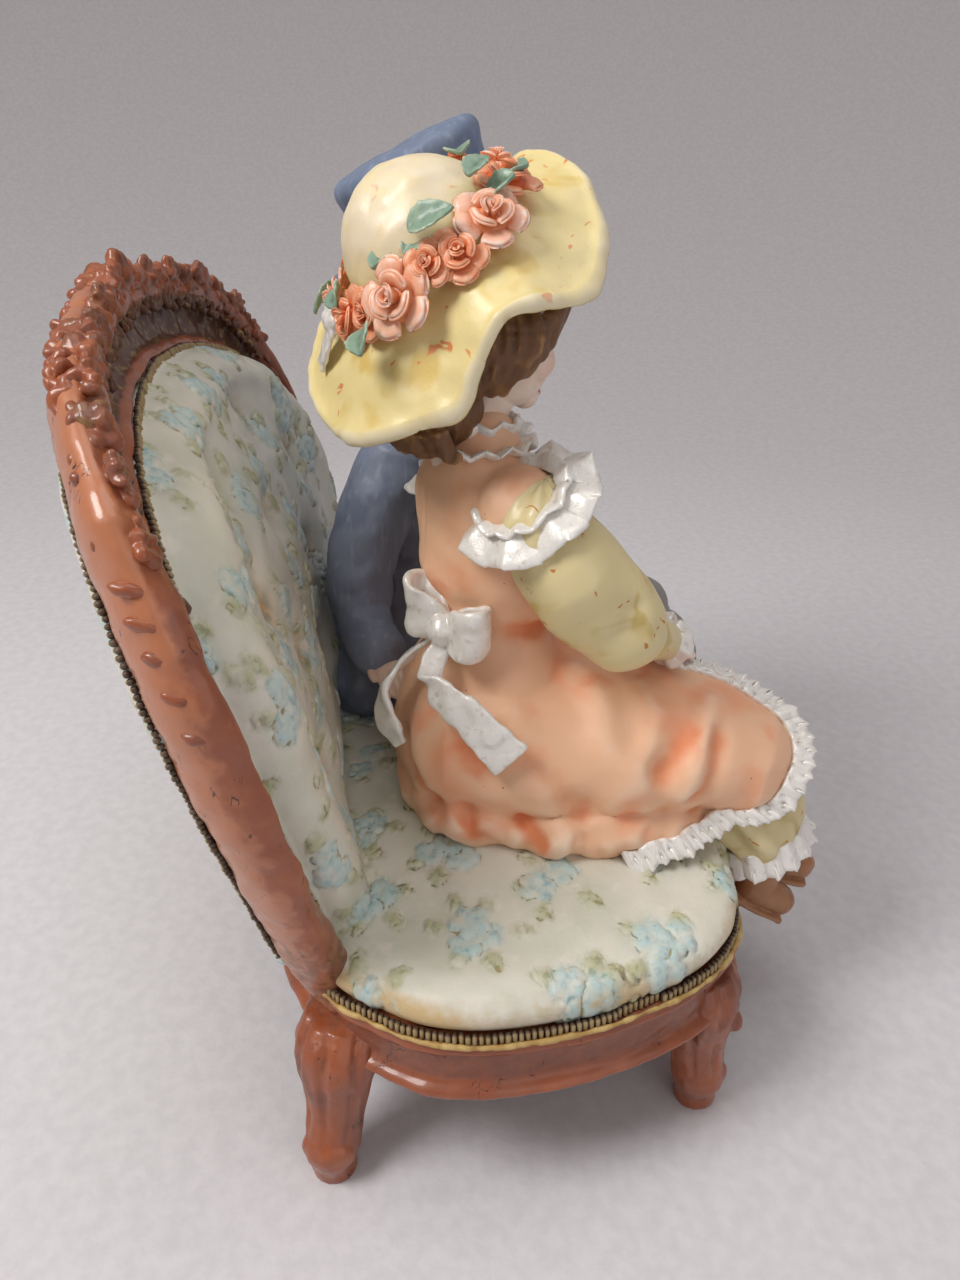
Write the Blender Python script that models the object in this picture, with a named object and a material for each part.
"""A courting couple in cast and painted resin: a lady and a gentleman on a carved settee.

Three castings, each one solid: the settee, the lady and the gentleman. Metres, +Z up. The settee
is symmetric about X = 0 and the couple face -Y. The figures are built from rounded masses run
together, as a modeller works in clay, and are cut to sit on the settee with a small clearance.
"""

import math

import bpy
import numpy as np

MM = 0.001

# Settee: seat, rail and cushion
SEAT_LENGTH = 193 * MM
SEAT_DEPTH = 113 * MM
SEAT_FRONT = -48 * MM
UNDERSIDE_HEIGHT = 30 * MM
RAIL_HEIGHT = 14.5 * MM
LIP_PROUD = 2.4 * MM
GIMP_WIDTH = 3.2 * MM
GIMP_PROUD = 1.6 * MM
CUSHION_SIDE = 7.5 * MM
CUSHION_CROWN = 4.5 * MM

# Settee: back
BACK_WIDTH = 196 * MM
BACK_HEIGHT = 176 * MM
BACK_SETBACK = 105 * MM
BACK_LEAN = 0.245
BACK_BOW = 9.6 * MM
BACK_THICKNESS = 9.5 * MM
BOLSTER_PROUD = 13 * MM
FIELD_PROUD = 10 * MM
FIELD_FILL = 7 * MM
MOULDING_PROUD = 2.2 * MM
RECESS_DEPTH = 2.2 * MM

# Settee: legs and carving
BACK_LEG_TOP = (78 * MM, 46 * MM)
FRONT_LEG_TOP = (75 * MM, -33 * MM)
BACK_LEG_SPLAY = (13 * MM, 5 * MM)
FRONT_LEG_SPLAY = (6 * MM, -2 * MM)
LEG_RADIUS = 8 * MM
FOOT_RADIUS = 5.6 * MM
CREST_LEAF = 7 * MM
CREST_ROSE = 8 * MM
SCROLL_RADIUS = 6 * MM
SCROLL_WIRE = 2.4 * MM

# Figures: sitting height from the cushion, and where each sits on it
LADY_HEIGHT = 142 * MM
LADY_PLACE = (-26 * MM, 8 * MM)
GENTLEMAN_HEIGHT = 146 * MM
GENTLEMAN_PLACE = (33 * MM, 28 * MM)

# Fits and facets
CLEARANCE = 0.4 * MM
BACK_CLEARANCE = 0.8 * MM
CLAY_GRAIN = 0.9 * MM
LADY_FACETS = 2650
GENTLEMAN_FACETS = 1600

# Heights that follow from the sizes above
GIMP_HEIGHT = UNDERSIDE_HEIGHT + RAIL_HEIGHT
CUSHION_EDGE = GIMP_HEIGHT + GIMP_WIDTH
CUSHION_TOP = CUSHION_EDGE + CUSHION_SIDE + CUSHION_CROWN

# The rim of the seat in plan: share of half the length, share of the depth from the front
SEAT_PLAN = [
    (0, 0), (0.35, 0.01), (0.67, 0.042), (0.785, 0.074), (0.885, 0.16), (0.945, 0.274),
    (0.985, 0.4), (1, 0.56), (0.975, 0.68), (0.91, 0.773), (0.83, 0.85), (0.6, 0.94),
    (0.3, 0.985), (0, 1),
]
# The outlines of the back from the front: share of half the width, share of the height
BACK_OUTLINE = [
    (0, 0.2), (0.74, 0.2), (0.837, 0.267), (0.908, 0.378), (0.969, 0.517), (1, 0.656),
    (0.995, 0.733), (0.945, 0.825), (0.875, 0.883), (0.684, 0.948), (0.5, 0.972), (0.25, 0.99),
    (0, 1),
]
UPHOLSTERY_OUTLINE = [
    (0, 0.278), (0.68, 0.278), (0.755, 0.333), (0.796, 0.444), (0.847, 0.533), (0.867, 0.639),
    (0.816, 0.717), (0.633, 0.806), (0.306, 0.861), (0, 0.878),
]
BACK_CENTRE_SHARE = 0.58

# The edge of the lady's floppy brim in mm: direction in degrees from the front over her right
# side, reach from the middle of the crown, drop below the base of the crown
BRIM_EDGE = [
    (15, 32.5, -6), (53, 33, -20), (88, 31, -10), (117, 33, -21), (140, 37, -20),
    (156, 40, -17), (175, 37.5, -9.5), (205, 35, -13), (235, 35, -7), (270, 33, -15),
    (310, 32, -6), (345, 32, -12),
]


def smooth_line(points, steps):
    """A Catmull-Rom curve through open points, with this many steps from one to the next."""
    points = np.array(points, float)
    padded = np.vstack([2 * points[0] - points[1], points, 2 * points[-1] - points[-2]])
    rows = []
    for i in range(len(points) - 1):
        a, b, c, d = padded[i : i + 4]
        for k in range(steps):
            t = k / steps
            rows.append(
                0.5 * (2 * b + (c - a) * t + (2 * a - 5 * b + 4 * c - d) * t**2
                       + (3 * b - a - 3 * c + d) * t**3)
            )
    return np.vstack([rows, points[-1]])


def mirrored_outline(half, width, height):
    """A closed outline from the points of its right half, bottom to top, at full size."""
    right = smooth_line(half, 8) * (width, height)
    left = right[-2:0:-1] * (-1, 1)
    return np.vstack([right, left])


def resampled(outline, count):
    """The closed outline as this many points, evenly spaced."""
    ring = np.vstack([outline, outline[:1]])
    lengths = np.concatenate([[0], np.cumsum(np.linalg.norm(np.diff(ring, axis=0), axis=1))])
    wanted = np.linspace(0, lengths[-1], count, endpoint=False)
    return np.column_stack([np.interp(wanted, lengths, ring[:, i]) for i in (0, 1)])


def outward(outline):
    """The unit normal of each point of a closed outline that runs anticlockwise."""
    along = np.roll(outline, -1, axis=0) - np.roll(outline, 1, axis=0)
    normal = np.column_stack([along[:, 1], -along[:, 0]])
    return normal / np.linalg.norm(normal, axis=1)[:, None]


def radius_at(outline, centre, angles):
    """How far a closed outline lies from a centre inside it, in each direction."""
    from_centre = outline - centre
    around = np.arctan2(from_centre[:, 1], from_centre[:, 0])
    order = np.argsort(around)
    distance = np.linalg.norm(from_centre, axis=1)
    return np.interp(angles, around[order], distance[order], period=2 * math.pi)


def lofted(rings, first_pole, last_pole):
    """A closed skin through rings of equally many points, with a point at either end."""
    count = len(rings[0])
    points = np.vstack([first_pole, *rings, last_pole])
    faces = []
    last = len(points) - 1
    for i in range(count):
        j = (i + 1) % count
        faces.append((0, 1 + j, 1 + i))
        for k in range(len(rings) - 1):
            low, high = 1 + k * count, 1 + (k + 1) * count
            faces.append((low + i, low + j, high + j, high + i))
        low = 1 + (len(rings) - 1) * count
        faces.append((low + i, low + j, last))
    return points, faces


def joined(shapes):
    """Several shapes as one list of points and faces."""
    points, faces, start = [], [], 0
    for shape_points, shape_faces in shapes:
        points.append(shape_points)
        faces += [tuple(start + i for i in face) for face in shape_faces]
        start += len(shape_points)
    return np.vstack(points), faces


def oval(centre, radii, along=(1, 0, 0), up=(0, 0, 1), sides=12):
    """An egg: radii along its length, across it and upwards."""
    axes = frame_of(np.array(along, float), np.array(up, float))
    tilt = np.linspace(0, math.pi, sides // 2 + 1)[1:-1]
    turn = np.linspace(0, 2 * math.pi, sides, endpoint=False)
    rings = []
    for a in tilt:
        ring = np.column_stack([
            np.full(sides, math.cos(a)), np.sin(a) * np.cos(turn), np.sin(a) * np.sin(turn),
        ])
        rings.append(centre + (ring * radii) @ axes)
    reach = axes[0] * radii[0]
    return lofted(rings[::-1], centre - reach, centre + reach)


def frame_of(along, up):
    """Three unit vectors as rows: along, across and upwards."""
    along = along / np.linalg.norm(along)
    across = np.cross(up, along)
    across = across / np.linalg.norm(across)
    return np.array([along, across, np.cross(along, across)])


def limb(path, wide, tall, sides=14, steps=3, up=(0, 0, 1), folds=0, fold_depth=0.0):
    """A rounded mass along a path: at each point its half width and half height."""
    rows = smooth_line(np.column_stack([np.array(path, float), wide, tall]), steps)
    centre, wide, tall = rows[:, :3], rows[:, 3], rows[:, 4]
    along = np.gradient(centre, axis=0)
    turn = np.linspace(0, 2 * math.pi, sides, endpoint=False)
    frames = [frame_of(a, np.array(up, float)) for a in along]

    def ring(i, scale, shift):
        crease = 1 + fold_depth * np.cos(folds * turn)
        across = np.outer(np.cos(turn) * crease * wide[i] * scale, frames[i][1])
        upward = np.outer(np.sin(turn) * crease * tall[i] * scale, frames[i][2])
        return centre[i] + frames[i][0] * shift + across + upward

    def reach(i):
        return min(wide[i], tall[i])

    last = len(centre) - 1
    start = [ring(0, math.sin(a), -math.cos(a) * reach(0)) for a in (0.5, 1.0)]
    body = [ring(i, 1, 0) for i in range(len(centre))]
    end = [ring(last, math.sin(a), math.cos(a) * reach(last)) for a in (1.0, 0.5)]
    return lofted(
        start + body + end,
        centre[0] - frames[0][0] * reach(0),
        centre[last] + frames[last][0] * reach(last),
    )


def mesh_object(name, shape, material=None, smooth=True):
    """A mesh object from points and faces, in the scene's collection."""
    mesh = bpy.data.meshes.new(name)
    mesh.from_pydata([tuple(p) for p in shape[0]], [], [tuple(f) for f in shape[1]])
    if smooth:
        mesh.shade_smooth()
    if material:
        mesh.materials.append(material)
    obj = bpy.data.objects.new(name, mesh)
    bpy.context.scene.collection.objects.link(obj)
    return obj


def helper(name, shape):
    """A cutter or a piece to be joined, which is not itself part of the model."""
    obj = mesh_object(name, shape)
    obj.hide_render = True
    obj.display_type = "WIRE"
    return obj


def resin(name, colour, roughness):
    """Painted cast resin."""
    material = bpy.data.materials.new(name)
    material.use_nodes = True
    shader = material.node_tree.nodes["Principled BSDF"]
    shader.inputs["Base Color"].default_value = (*colour, 1)
    shader.inputs["Roughness"].default_value = roughness
    shader.inputs["Metallic"].default_value = 0.0
    return material


def evaluated_mesh(obj):
    """A copy of the object's mesh with its modifiers."""
    bpy.context.view_layer.update()
    graph = bpy.context.evaluated_depsgraph_get()
    return bpy.data.meshes.new_from_object(obj.evaluated_get(graph), depsgraph=graph)


# The settee
def back_surface(x, z):
    """Where the front of the back lies: it is bowed in plan and leans backwards."""
    bow = BACK_BOW * (2 * x / BACK_WIDTH) ** 2 * 1.45
    return SEAT_FRONT + BACK_SETBACK - bow + BACK_LEAN * (z - CUSHION_TOP + 4.5 * MM)


def seat_rim(count):
    """The rim of the seat in plan, anticlockwise."""
    outline = mirrored_outline(SEAT_PLAN, SEAT_LENGTH / 2, SEAT_DEPTH) + (0, SEAT_FRONT)
    return resampled(outline, count)


def seat_shape(grow=0.0):
    """Underside, rail with its lip, gimp and domed cushion, as rings around the rim."""
    rim = seat_rim(40)
    normal = outward(rim)
    middle = np.array([0, SEAT_FRONT + SEAT_DEPTH / 2])
    profile = [
        (-3 * MM, 0), (LIP_PROUD / 2, 0.4 * MM), (LIP_PROUD, 0.17 * RAIL_HEIGHT),
        (LIP_PROUD / 2, 0.36 * RAIL_HEIGHT), (-0.4 * MM, 0.55 * RAIL_HEIGHT), (0, RAIL_HEIGHT),
        (GIMP_PROUD, RAIL_HEIGHT + GIMP_WIDTH / 2), (0, RAIL_HEIGHT + GIMP_WIDTH),
    ]
    rows = [(out, UNDERSIDE_HEIGHT + up) for out, up in profile]
    rows += [
        (0.2 * MM, CUSHION_EDGE + 0.3 * CUSHION_SIDE), (-2 * MM, CUSHION_EDGE + 0.7 * CUSHION_SIDE),
        (-6.5 * MM, CUSHION_EDGE + CUSHION_SIDE),
    ]
    rings = []
    for number, (out, height) in enumerate(rows):
        lift = -grow if number == 0 else grow if number > 8 else 0
        flat = rim + normal * (out + grow)
        rings.append(np.column_stack([flat, np.full(len(rim), height + lift)]))
    edge = rim - normal * 6.5 * MM
    for share in (0.84, 0.62, 0.34):
        flat = middle + (edge - middle) * share
        height = CUSHION_TOP - CUSHION_CROWN * share**2 + grow
        rings.append(np.column_stack([flat, np.full(len(rim), height)]))
    bottom = [[*middle, UNDERSIDE_HEIGHT - grow]]
    return lofted(rings, bottom, [[*middle, CUSHION_TOP + grow]])


def back_shape(grow=0.0):
    """The leaning back: carved frame, recess, padded bolster and fuller middle."""
    count = 52
    angles = np.linspace(-math.pi, math.pi, count, endpoint=False)
    centre = np.array([0, BACK_CENTRE_SHARE * BACK_HEIGHT])
    half = BACK_WIDTH / 2
    outer = radius_at(mirrored_outline(BACK_OUTLINE, half, BACK_HEIGHT), centre, angles) + grow
    inner = radius_at(mirrored_outline(UPHOLSTERY_OUTLINE, half, BACK_HEIGHT), centre, angles)
    direction = np.column_stack([np.cos(angles), np.sin(angles)])
    sideways = 0.85 + 0.15 * np.cos(angles) ** 2

    def ring(radius, depth):
        flat = centre + direction * radius[:, None]
        return np.column_stack([flat[:, 0], back_surface(*flat.T) + depth, flat[:, 1]])

    rear = BACK_THICKNESS + grow
    rows = [
        (0.5 * inner, rear + 2 * MM), (inner, rear), (0.9 * outer + 0.1 * inner, rear - 1 * MM),
        (outer, rear - 3 * MM), (outer, 1 * MM - grow),
        (0.82 * outer + 0.18 * inner, -MOULDING_PROUD - grow),
        (0.62 * outer + 0.38 * inner, -grow),
        (0.5 * outer + 0.5 * inner, RECESS_DEPTH - grow),
        (0.2 * outer + 0.8 * inner, RECESS_DEPTH - grow), (inner, -grow),
    ]
    rings = [ring(radius, depth) for radius, depth in rows]
    for share, proud in ((0.96, 0.6), (0.87, 1), (0.79, 0.98)):
        rings.append(ring(share * inner, -proud * sideways * BOLSTER_PROUD - grow))
    for share in (0.7, 0.5, 0.25):
        proud = FIELD_PROUD + FIELD_FILL * (1 - share**2)
        rings.append(ring(share * inner, -proud - grow))
    x, z = centre
    rear_pole = [[x, back_surface(x, z) + rear + 2.5 * MM, z]]
    front_pole = [[x, back_surface(x, z) - FIELD_PROUD - FIELD_FILL - grow, z]]
    return lofted(rings, rear_pole, front_pole)


def leg_shape(top, splay, side):
    """A cabriole leg: a full knee under the rail, a slim ankle and a scrolled foot."""
    height = UNDERSIDE_HEIGHT + 0.5 * RAIL_HEIGHT
    ankle = 0.72 * LEG_RADIUS
    rows = [
        (0, 1, FOOT_RADIUS), (0.05, 1.03, FOOT_RADIUS), (0.14, 0.98, 1.18 * FOOT_RADIUS),
        (0.26, 0.78, 1.05 * FOOT_RADIUS), (0.4, 0.52, ankle), (0.58, 0.4, 0.85 * LEG_RADIUS),
        (0.74, 0.38, 1.02 * LEG_RADIUS), (0.88, 0.2, 1.05 * LEG_RADIUS), (1, 0, LEG_RADIUS),
    ]
    turn = np.linspace(0, 2 * math.pi, 10, endpoint=False)
    rings = []
    for level, shift, radius in rows:
        x = side * (top[0] + splay[0] * shift) + radius * np.cos(turn)
        y = top[1] + splay[1] * shift + radius * np.sin(turn)
        rings.append(np.column_stack([x, y, np.full(len(turn), level * height)]))
    return lofted(rings, [rings[0].mean(axis=0)], [rings[-1].mean(axis=0)])


def knee_leaf(top, splay, side):
    """The carved boss on the outer face of a knee."""
    reach = math.hypot(*splay)
    out = np.array([side * splay[0], splay[1], 0]) / reach
    centre = np.array([side * top[0], top[1], 0.86 * UNDERSIDE_HEIGHT])
    return oval(centre + out * LEG_RADIUS, (6 * MM, 5 * MM, 3.5 * MM), along=(0, 0, 1), up=out, sides=8)


def on_frame(turn, share):
    """A point of the back's frame: direction from its middle, share of the way out."""
    centre = np.array([0, BACK_CENTRE_SHARE * BACK_HEIGHT])
    outline = mirrored_outline(BACK_OUTLINE, BACK_WIDTH / 2, BACK_HEIGHT)
    distance = radius_at(outline, centre, np.array([turn]))[0] * share
    x, z = centre + distance * np.array([math.cos(turn), math.sin(turn)])
    return np.array([x, back_surface(x, z), z])


def crest_carving():
    """Leaves in overlapping pairs along the top of the frame, with a rose at the middle."""
    shapes = []
    for side in (-1, 1):
        for number in range(7):
            turn = math.pi / 2 - side * math.radians(15 + 7.2 * number)
            size = CREST_LEAF * (1 - 0.05 * number)
            along = on_frame(turn - side * 0.1, 1) - on_frame(turn, 1)
            up = on_frame(turn, 1.2) - on_frame(turn, 1)
            tip = 0.5 if number % 2 else -0.35
            leaf = along / np.linalg.norm(along) + tip * up / np.linalg.norm(up)
            centre = on_frame(turn, 1.0) + (0, 2 * MM, 0)
            shapes.append(oval(centre, (size, 0.6 * size, 0.55 * size), along=leaf, sides=8))
    rose = on_frame(math.pi / 2, 1.0)
    shapes.append(oval(rose, (CREST_ROSE, 0.75 * CREST_ROSE, 0.75 * CREST_ROSE), sides=10))
    return shapes


def scroll_shape(side):
    """The volute where the crest rail meets the side of the frame."""
    centre = on_frame(math.pi / 2 - side * math.radians(68), 0.93)
    turns = np.linspace(0.25, 1.45, 10) * 2 * math.pi
    swell = SCROLL_RADIUS * (0.35 + 0.65 * (turns / turns[-1]))
    path = [
        centre + (side * r * math.sin(a), -1 * MM - 1 * MM * (1 - a / turns[-1]), -r * math.cos(a))
        for r, a in zip(swell, turns)
    ]
    wire = np.full(len(path), SCROLL_WIRE)
    return limb(path, wire, wire, sides=5, steps=1, up=(0, 1, 0))


def make_settee(material):
    """The settee as one solid: its shapes united."""
    shapes = {"back": back_shape(), "cushion": seat_shape()}
    legs = ((BACK_LEG_TOP, BACK_LEG_SPLAY, "back"), (FRONT_LEG_TOP, FRONT_LEG_SPLAY, "front"))
    for top, splay, name in legs:
        for side in (-1, 1):
            shapes[f"leg_{name}_{side}"] = leg_shape(top, splay, side)
            shapes[f"knee_{name}_{side}"] = knee_leaf(top, splay, side)
    for side in (-1, 1):
        shapes[f"scroll_{side}"] = scroll_shape(side)
    for number, shape in enumerate(crest_carving()):
        shapes[f"crest_{number}"] = shape
    pieces = bpy.data.collections.new("settee_pieces")
    bpy.context.scene.collection.children.link(pieces)
    pieces.hide_render = True
    settee = mesh_object("settee", shapes.pop("cushion"), material)
    for name, shape in shapes.items():
        piece = helper(name, shape)
        bpy.context.scene.collection.objects.unlink(piece)
        pieces.objects.link(piece)
    union = settee.modifiers.new("Settee pieces", "BOOLEAN")
    union.operation = "UNION"
    union.operand_type = "COLLECTION"
    union.collection = pieces
    union.solver = "EXACT"
    return settee


class Sitter:
    """Places a figure's masses: points drawn in mm from where it sits, scaled to its height."""

    def __init__(self, place, height, drawn):
        self.seat = np.array([*place, CUSHION_TOP])
        self.scale = height / drawn
        self.masses = []

    def at(self, point):
        return self.seat + np.array(point, float) * self.scale

    def size(self, value):
        return np.array(value, float) * self.scale

    def mass(self, centre, radii, **more):
        self.masses.append(oval(self.at(centre), self.size(radii), **more))

    def limb(self, path, wide, tall=None, **more):
        tall = wide if tall is None else tall
        points = [self.at(p) for p in path]
        self.masses.append(limb(points, self.size(wide), self.size(tall), **more))

    def hat(self, centre, axis, front, rows, sides=28):
        """A hat: rows of radius and height above its base, from under the brim to the crown.

        Directions run from the front over the wearer's right side.
        """
        axes = frame_of(np.array(axis, float), np.array(front, float))
        turn = np.linspace(2 * math.pi, 0, sides, endpoint=False)
        rings = []
        for radius, height in rows(turn):
            flat = np.column_stack([
                height + 0 * turn, radius * np.sin(turn), radius * np.cos(turn),
            ])
            rings.append(self.at(centre) + self.size(flat) @ axes)
        self.masses.append(lofted(rings, [rings[0].mean(axis=0)], [rings[-1].mean(axis=0)]))

    def cast(self, name, material, facets, cutters):
        """The figure as one solid: its masses run together, eased, faceted and cut to fit."""
        figure = mesh_object(name, joined(self.masses), material)
        grain = figure.modifiers.new("Run together", "REMESH")
        grain.mode = "VOXEL"
        grain.voxel_size = CLAY_GRAIN
        ease = figure.modifiers.new("Ease", "SMOOTH")
        ease.iterations = 3
        ease.factor = 0.5
        count = len(evaluated_mesh(figure).polygons) * 2
        facet = figure.modifiers.new("Facets", "DECIMATE")
        facet.ratio = facets / count
        for cutter in cutters:
            cut = figure.modifiers.new(f"Clear of {cutter.name}", "BOOLEAN")
            cut.operation = "DIFFERENCE"
            cut.object = cutter
            cut.solver = "EXACT"
            cut.use_self = True
        return figure


def around(points, turn):
    """Smooth values around a closed edge, from rows of degrees and values."""
    rows = np.array(points, float)
    closed = np.vstack([rows[-2:] - [360, 0, 0], rows, rows[:2] + [360, 0, 0]])
    fine = smooth_line(closed, 8)
    degrees = np.degrees(turn) % 360
    return [np.interp(degrees, fine[:, 0], fine[:, i]) for i in (1, 2)]


def lady_hat_rows(turn):
    """A low round crown and a wide floppy brim, drooping in uneven lobes."""
    reach, drop = around(BRIM_EDGE, turn)
    base, thick = 17, 1.3
    rows = []
    for share in (0.3, 0.7, 0.97):
        rows.append((base + (reach - base) * share, drop * share**1.2 - thick))
    rows.append((reach, drop))
    for share in (0.97, 0.7, 0.35):
        rows.append((base + (reach - base) * share, drop * share**1.2 + thick))
    return rows + [(16.8, 2), (16.8, 9), (15, 14), (10.5, 17), (5, 18)]


def top_hat_rows(turn):
    """A straight crown, and a brim dipped in front and behind and curled up at the sides."""
    reach = 28 + 6 * np.cos(turn) ** 2
    curl = 4.5 * np.sin(turn) ** 2
    return [
        (17, -1.2), (0.8 * reach, 0.4 * curl - 1.2), (reach, curl - 0.6), (reach, curl + 1),
        (0.8 * reach, 0.4 * curl + 1.2), (18.4, 1.2), (17.6, 9), (18.8, 17.6), (17.5, 19),
    ]


def model_lady():
    """The lady, turned a little to her left, her right side and back to the settee's near end."""
    lady = Sitter(LADY_PLACE, LADY_HEIGHT, 142)
    # Skirt over hips and lap, spread on the cushion and falling past its front edge
    lady.mass((0, -2, 12), (29, 25, 24))
    lady.limb(
        [(-1, 0, 14), (-6, -24, 14), (-11, -45, 14), (-15, -60, 9)], (29, 27, 23, 17),
        (23, 19.5, 16, 13), folds=9, fold_depth=0.05, sides=24,
    )
    lady.mass((-18, -22, 2), (19, 30, 8))
    lady.mass((-4, 3, 3), (27, 20, 10))
    # Underskirt and petticoat below the hem, then the boots
    lady.limb([(-13, -56, 4), (-17, -63, -6), (-18, -65, -11)], (17, 15, 13), (13, 12, 10), folds=7,
              fold_depth=0.06, sides=20)
    lady.limb([(-14, -66, -13), (-16, -70, -21), (-16, -78, -24)], (5.8, 5.8, 5), (6, 6, 5))
    lady.limb([(-22, -63, -13), (-24, -64, -24), (-24, -70, -28)], (5.8, 5.8, 5), (6, 6, 5))
    # Bodice, neck and head
    turned = (0.45, -0.9, 0)
    lady.limb([(0, 0, 24), (1, 0, 42), (1, -1, 58), (1, 2, 74), (1.5, 3, 84), (4, 1, 92)],
              (24, 15.5, 19, 20, 10, 7), (20, 13.5, 17, 13, 9, 7), up=turned, sides=18)
    lady.mass((4, -1.5, 107), (13.5, 14.5, 16.5))
    lady.mass((2, 5, 113), (14, 14, 13))
    lady.mass((-2, 9, 94), (11, 11, 10))
    # Sleeves, forearms and hands
    lady.limb([(-17, -8, 78), (-20, -17, 64), (-20, -25, 51)], (11.5, 11.5, 10.5))
    lady.limb([(-19, -28, 46), (-12, -35, 41), (-8, -40, 38)], (8, 6.5, 4.5))
    lady.mass((-5, -43, 35), (6, 4.5, 3.2))
    lady.limb([(17, 5, 78), (24, -6, 60), (20, -24, 46)], (11.5, 11, 9))
    lady.limb([(20, -24, 46), (10, -34, 40), (3, -40, 36)], (8.5, 6.5, 4))
    # Shoulder ruffles, and the bow with its tails at the back of the waist
    for shoulder, arm in (((-17, -8, 77), (0.1, 0.5, 0.86)), ((17, 5, 77), (-0.2, 0.5, 0.84))):
        lady.mass(shoulder, (4.5, 15.5, 14.5), along=arm)
    lady.mass((-5, 12, 43), (6, 4, 5))
    lady.mass((-10, 15, 46), (7, 4, 7))
    lady.mass((2, 14, 44), (7, 4, 6))
    for tail in ([(-6, 13, 41), (-10, 20, 33), (-14, 21, 22)],
                 [(-7, 12, 41), (-17, 10, 32), (-24, 2, 24)]):
        lady.limb(tail, (3.6, 4, 3.4), (2.2, 2.2, 2.2))
    # Hat tipped back, with a garland of roses around the crown
    hat, axis, front = (2, 12, 122), (-0.2, 0.585, 0.775), (0, -1, 0.75)
    lady.hat(hat, axis, front, lady_hat_rows)
    axes = frame_of(np.array(axis), np.array(front))
    for number in range(9):
        turn = math.radians(40 * number + 10)
        spot = 19 * math.sin(turn) * axes[1] + 19 * math.cos(turn) * axes[2] + 3.5 * axes[0]
        lady.mass(np.array(hat) + spot, (5.4, 5.4, 5.4), sides=8)
    return lady


def model_gentleman():
    """The gentleman, his right arm behind the lady, in a long coat and a top hat."""
    man = Sitter(GENTLEMAN_PLACE, GENTLEMAN_HEIGHT, 146)
    # Seat of the coat with its skirt spread on the cushion, then trousers and shoes
    man.mass((0, 2, 10), (26, 22, 18))
    man.mass((-15, 8, 5), (17, 16, 13))
    for side, out in ((-1, -13), (1, 13)):
        man.limb([(out * 0.7, 0, 12), (out, -40, 12), (out, -76, 9)], (13, 11.5, 9.5))
        man.limb([(out, -77, 8), (out, -84, -18), (out + side, -82, -44)], (9, 8, 7.2))
        man.limb([(out + side, -78, -47), (out + 2 * side, -90, -50), (out + 3 * side, -101, -51)],
                 (6.5, 6, 5), (5, 4.4, 3.2))
    # Coat body, collar, neck and head
    turned = (-0.25, -0.97, 0)
    man.limb([(0, 3, 14), (-1, 0, 38), (-2, -5, 56), (-2, -7, 69), (-2, -10, 78), (-2, -12, 88)],
             (24, 20, 23, 21, 11, 8), (20, 16, 16, 13, 9, 8), up=turned, sides=18)
    man.mass((-2, -17, 102), (13, 14.5, 17))
    # Right arm down behind the lady, left arm to his knee
    man.limb([(-17, 0, 66), (-22, 9, 47), (-24, 11, 33)], (10, 9.5, 9))
    man.limb([(-24, 11, 32), (-32, 9, 26), (-38, 6, 24)], (8, 7, 6))
    man.mass((-44, 4, 23), (6.5, 4.5, 5))
    man.limb([(20, -6, 66), (29, -14, 48), (29, -24, 33)], (9.5, 9, 8))
    man.limb([(29, -24, 33), (24, -38, 27), (18, -48, 24)], (8, 7, 5.5))
    man.mass((15, -53, 23), (5.5, 6.5, 3.5))
    man.hat((-2, -14, 120.5), (0, 0.44, 0.9), (0, -1, 0.5), top_hat_rows)
    return man


def clear_scene():
    """Start from an empty scene."""
    for obj in list(bpy.data.objects):
        bpy.data.objects.remove(obj, do_unlink=True)


def centre_model(nodes):
    """Stand the whole model on the origin: its lowest point at 0, its middle above it."""
    bpy.context.view_layer.update()
    graph = bpy.context.evaluated_depsgraph_get()
    corners = []
    for node in nodes:
        mesh = node.evaluated_get(graph).to_mesh()
        points = np.empty(len(mesh.vertices) * 3, np.float32)
        mesh.vertices.foreach_get("co", points)
        corners += [points.reshape(-1, 3).min(axis=0), points.reshape(-1, 3).max(axis=0)]
    low, high = np.min(corners, axis=0), np.max(corners, axis=0)
    middle = (low + high) / 2
    holder = bpy.data.objects.new("couple", None)
    bpy.context.scene.collection.objects.link(holder)
    holder.location = (-middle[0], -middle[1], -low[2])
    for obj in bpy.data.objects:
        if obj is not holder and obj.parent is None:
            obj.parent = holder


def main():
    clear_scene()
    lacquer = resin("Lacquered resin, terracotta", (0.43, 0.12, 0.05), 0.25)
    dress = resin("Painted resin, peach", (0.8, 0.45, 0.27), 0.5)
    coat = resin("Painted resin, slate blue", (0.15, 0.18, 0.28), 0.5)
    settee = make_settee(lacquer)
    seat_cutter = helper("seat_clearance", seat_shape(CLEARANCE))
    back_cutter = helper("back_clearance", back_shape(BACK_CLEARANCE))
    lady = model_lady().cast("lady", dress, LADY_FACETS, [seat_cutter, back_cutter])
    lady_cutter = helper("lady_clearance", ([], []))
    lady_cutter.data = evaluated_mesh(lady)
    swell = lady_cutter.modifiers.new("Clearance", "DISPLACE")
    swell.strength = CLEARANCE
    swell.mid_level = 0
    gentleman = model_gentleman().cast(
        "gentleman", coat, GENTLEMAN_FACETS, [seat_cutter, back_cutter, lady_cutter]
    )
    centre_model([settee, lady, gentleman])


main()
